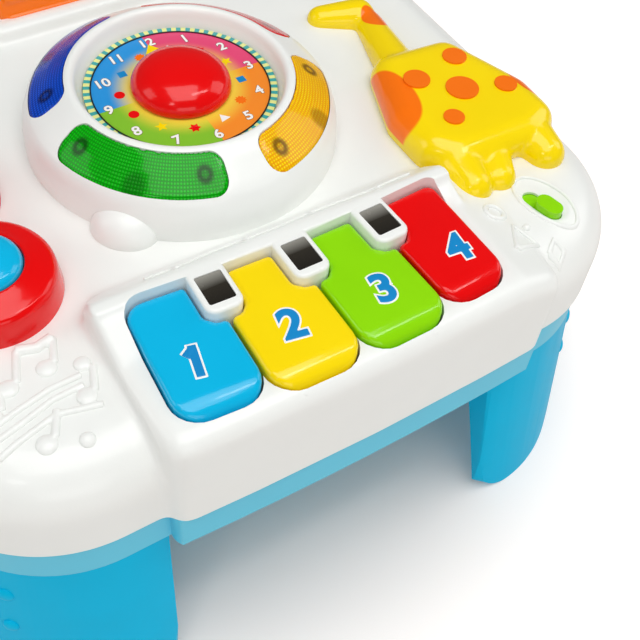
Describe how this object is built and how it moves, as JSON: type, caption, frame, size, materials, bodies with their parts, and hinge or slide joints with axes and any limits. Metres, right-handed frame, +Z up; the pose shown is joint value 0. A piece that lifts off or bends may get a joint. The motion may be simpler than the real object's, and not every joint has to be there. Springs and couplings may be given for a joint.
{
  "type": "musical activity table",
  "caption": "Toddler's activity table: a lobed white top with a toy clock under a dome, piano keys, round push buttons, a giraffe, a slide switch and a ribbed roller, on a blue tray and legs.",
  "frame": {"origin": "on the floor, below the middle of the table; the clock's axis passes through it", "axes": "+Z up; the child plays from -Y, so +Y is the back with the roller; +X is to that child's right, where the giraffe is"},
  "size_m": [0.364, 0.328, 0.2076],
  "materials": {
    "shell_white": "smooth, satin gloss",
    "tray_blue": "smooth, satin",
    "leg_blue": "smooth, satin",
    "sky": "glossy",
    "yellow": "glossy",
    "lime": "glossy",
    "red": "glossy",
    "orange": "glossy",
    "lens_green": "tinted clear plastic, dotted",
    "lens_amber": "tinted clear plastic",
    "lens_red": "tinted clear plastic",
    "lens_blue": "tinted clear plastic",
    "clock_print": "printed label under clear coat",
    "black_print": "matt",
    "dark_inlay": "glossy, light to dark",
    "steel": "bright",
    "circuit_board": "solder mask",
    "lamp_clear": "clear epoxy",
    "pad_rubber": "matt silicone",
    "inner_white": "matt",
    "dark_plastic": "matt",
    "battery_wrap": "printed sleeve"
  },
  "bodies": {
    "table": {"top_shell": "shell_white", "base_tray": "tray_blue", "leg_front_left": "leg_blue", "leg_front_right": "leg_blue", "leg_back_left": "leg_blue", "leg_back_right": "leg_blue", "clock_dome": "shell_white", "lens_green": "lens_green", "lens_amber": "lens_amber", "lens_red": "lens_red", "lens_blue": "lens_blue", "light_tray": "inner_white", "light_board": "circuit_board", "lamps": "lamp_clear", "clock_face": "clock_print", "clock_line": "black_print", "key_pad_1": "pad_rubber", "key_pad_2": "pad_rubber", "key_pad_3": "pad_rubber", "key_pad_4": "pad_rubber", "key_rod": "steel", "key_chassis": "inner_white", "key_board": "circuit_board", "chassis_screws": "steel", "dark_inlays": "dark_inlay", "button_housing": "red", "button_pad_front": "pad_rubber", "button_pad_back": "pad_rubber", "giraffe": "yellow", "giraffe_patches": "orange", "switch_body": "dark_plastic", "roller_axle": "steel", "battery_door": "tray_blue", "door_screw": "steel", "batteries": "battery_wrap", "battery_contacts": "steel", "loudspeaker": "dark_plastic", "main_board": "circuit_board", "board_screws": "steel", "shell_screws": "steel"},
    "clock_knob": {"clock_knob": "red", "clock_pointer": "yellow", "knob_spindle": "steel", "spindle_clip": "steel"},
    "key_1": {"key_1": "sky"},
    "key_2": {"key_2": "yellow"},
    "key_3": {"key_3": "lime"},
    "key_4": {"key_4": "red"},
    "button_front": {"button_front": "sky"},
    "button_back": {"button_back": "sky"},
    "switch_slider": {"switch_slider": "lime"},
    "roller": {"roller": "orange"}
  },
  "joints": [
    {"name": "knob_turn", "type": "hinge", "parent": "table", "child": "clock_knob", "pos_m": [0, 0, 0.19], "axis": [0, 0, 1], "continuous": true},
    {"name": "key_1_press", "type": "hinge", "parent": "table", "child": "key_1", "pos_m": [0, -0.084, 0.174], "axis": [1, 0, 0], "range_deg": [0, 3.2], "stiffness_Nm_per_rad": 2, "springref_deg": -1.15, "deforming": ["key_pad_1"]},
    {"name": "key_2_press", "type": "hinge", "parent": "table", "child": "key_2", "pos_m": [0, -0.084, 0.174], "axis": [1, 0, 0], "range_deg": [0, 3.2], "stiffness_Nm_per_rad": 2, "springref_deg": -1.15, "deforming": ["key_pad_2"]},
    {"name": "key_3_press", "type": "hinge", "parent": "table", "child": "key_3", "pos_m": [0, -0.084, 0.174], "axis": [1, 0, 0], "range_deg": [0, 3.2], "stiffness_Nm_per_rad": 2, "springref_deg": -1.15, "deforming": ["key_pad_3"]},
    {"name": "key_4_press", "type": "hinge", "parent": "table", "child": "key_4", "pos_m": [0, -0.084, 0.174], "axis": [1, 0, 0], "range_deg": [0, 3.2], "stiffness_Nm_per_rad": 2, "springref_deg": -1.15, "deforming": ["key_pad_4"]},
    {"name": "button_front_press", "type": "slide", "parent": "table", "child": "button_front", "axis": [0, 0, -1], "range_m": [0, 0.003], "stiffness_N_per_m": 300, "springref_m": -0.002, "deforming": ["button_pad_front"]},
    {"name": "button_back_press", "type": "slide", "parent": "table", "child": "button_back", "axis": [0, 0, -1], "range_m": [0, 0.003], "stiffness_N_per_m": 300, "springref_m": -0.002, "deforming": ["button_pad_back"]},
    {"name": "switch_slide", "type": "slide", "parent": "table", "child": "switch_slider", "axis": [-0.2079, 0.9781, 0], "range_m": [0, 0.0068]},
    {"name": "roller_turn", "type": "hinge", "parent": "table", "child": "roller", "pos_m": [0, 0.118, 0.174], "axis": [1, 0, 0], "continuous": true}
  ]
}
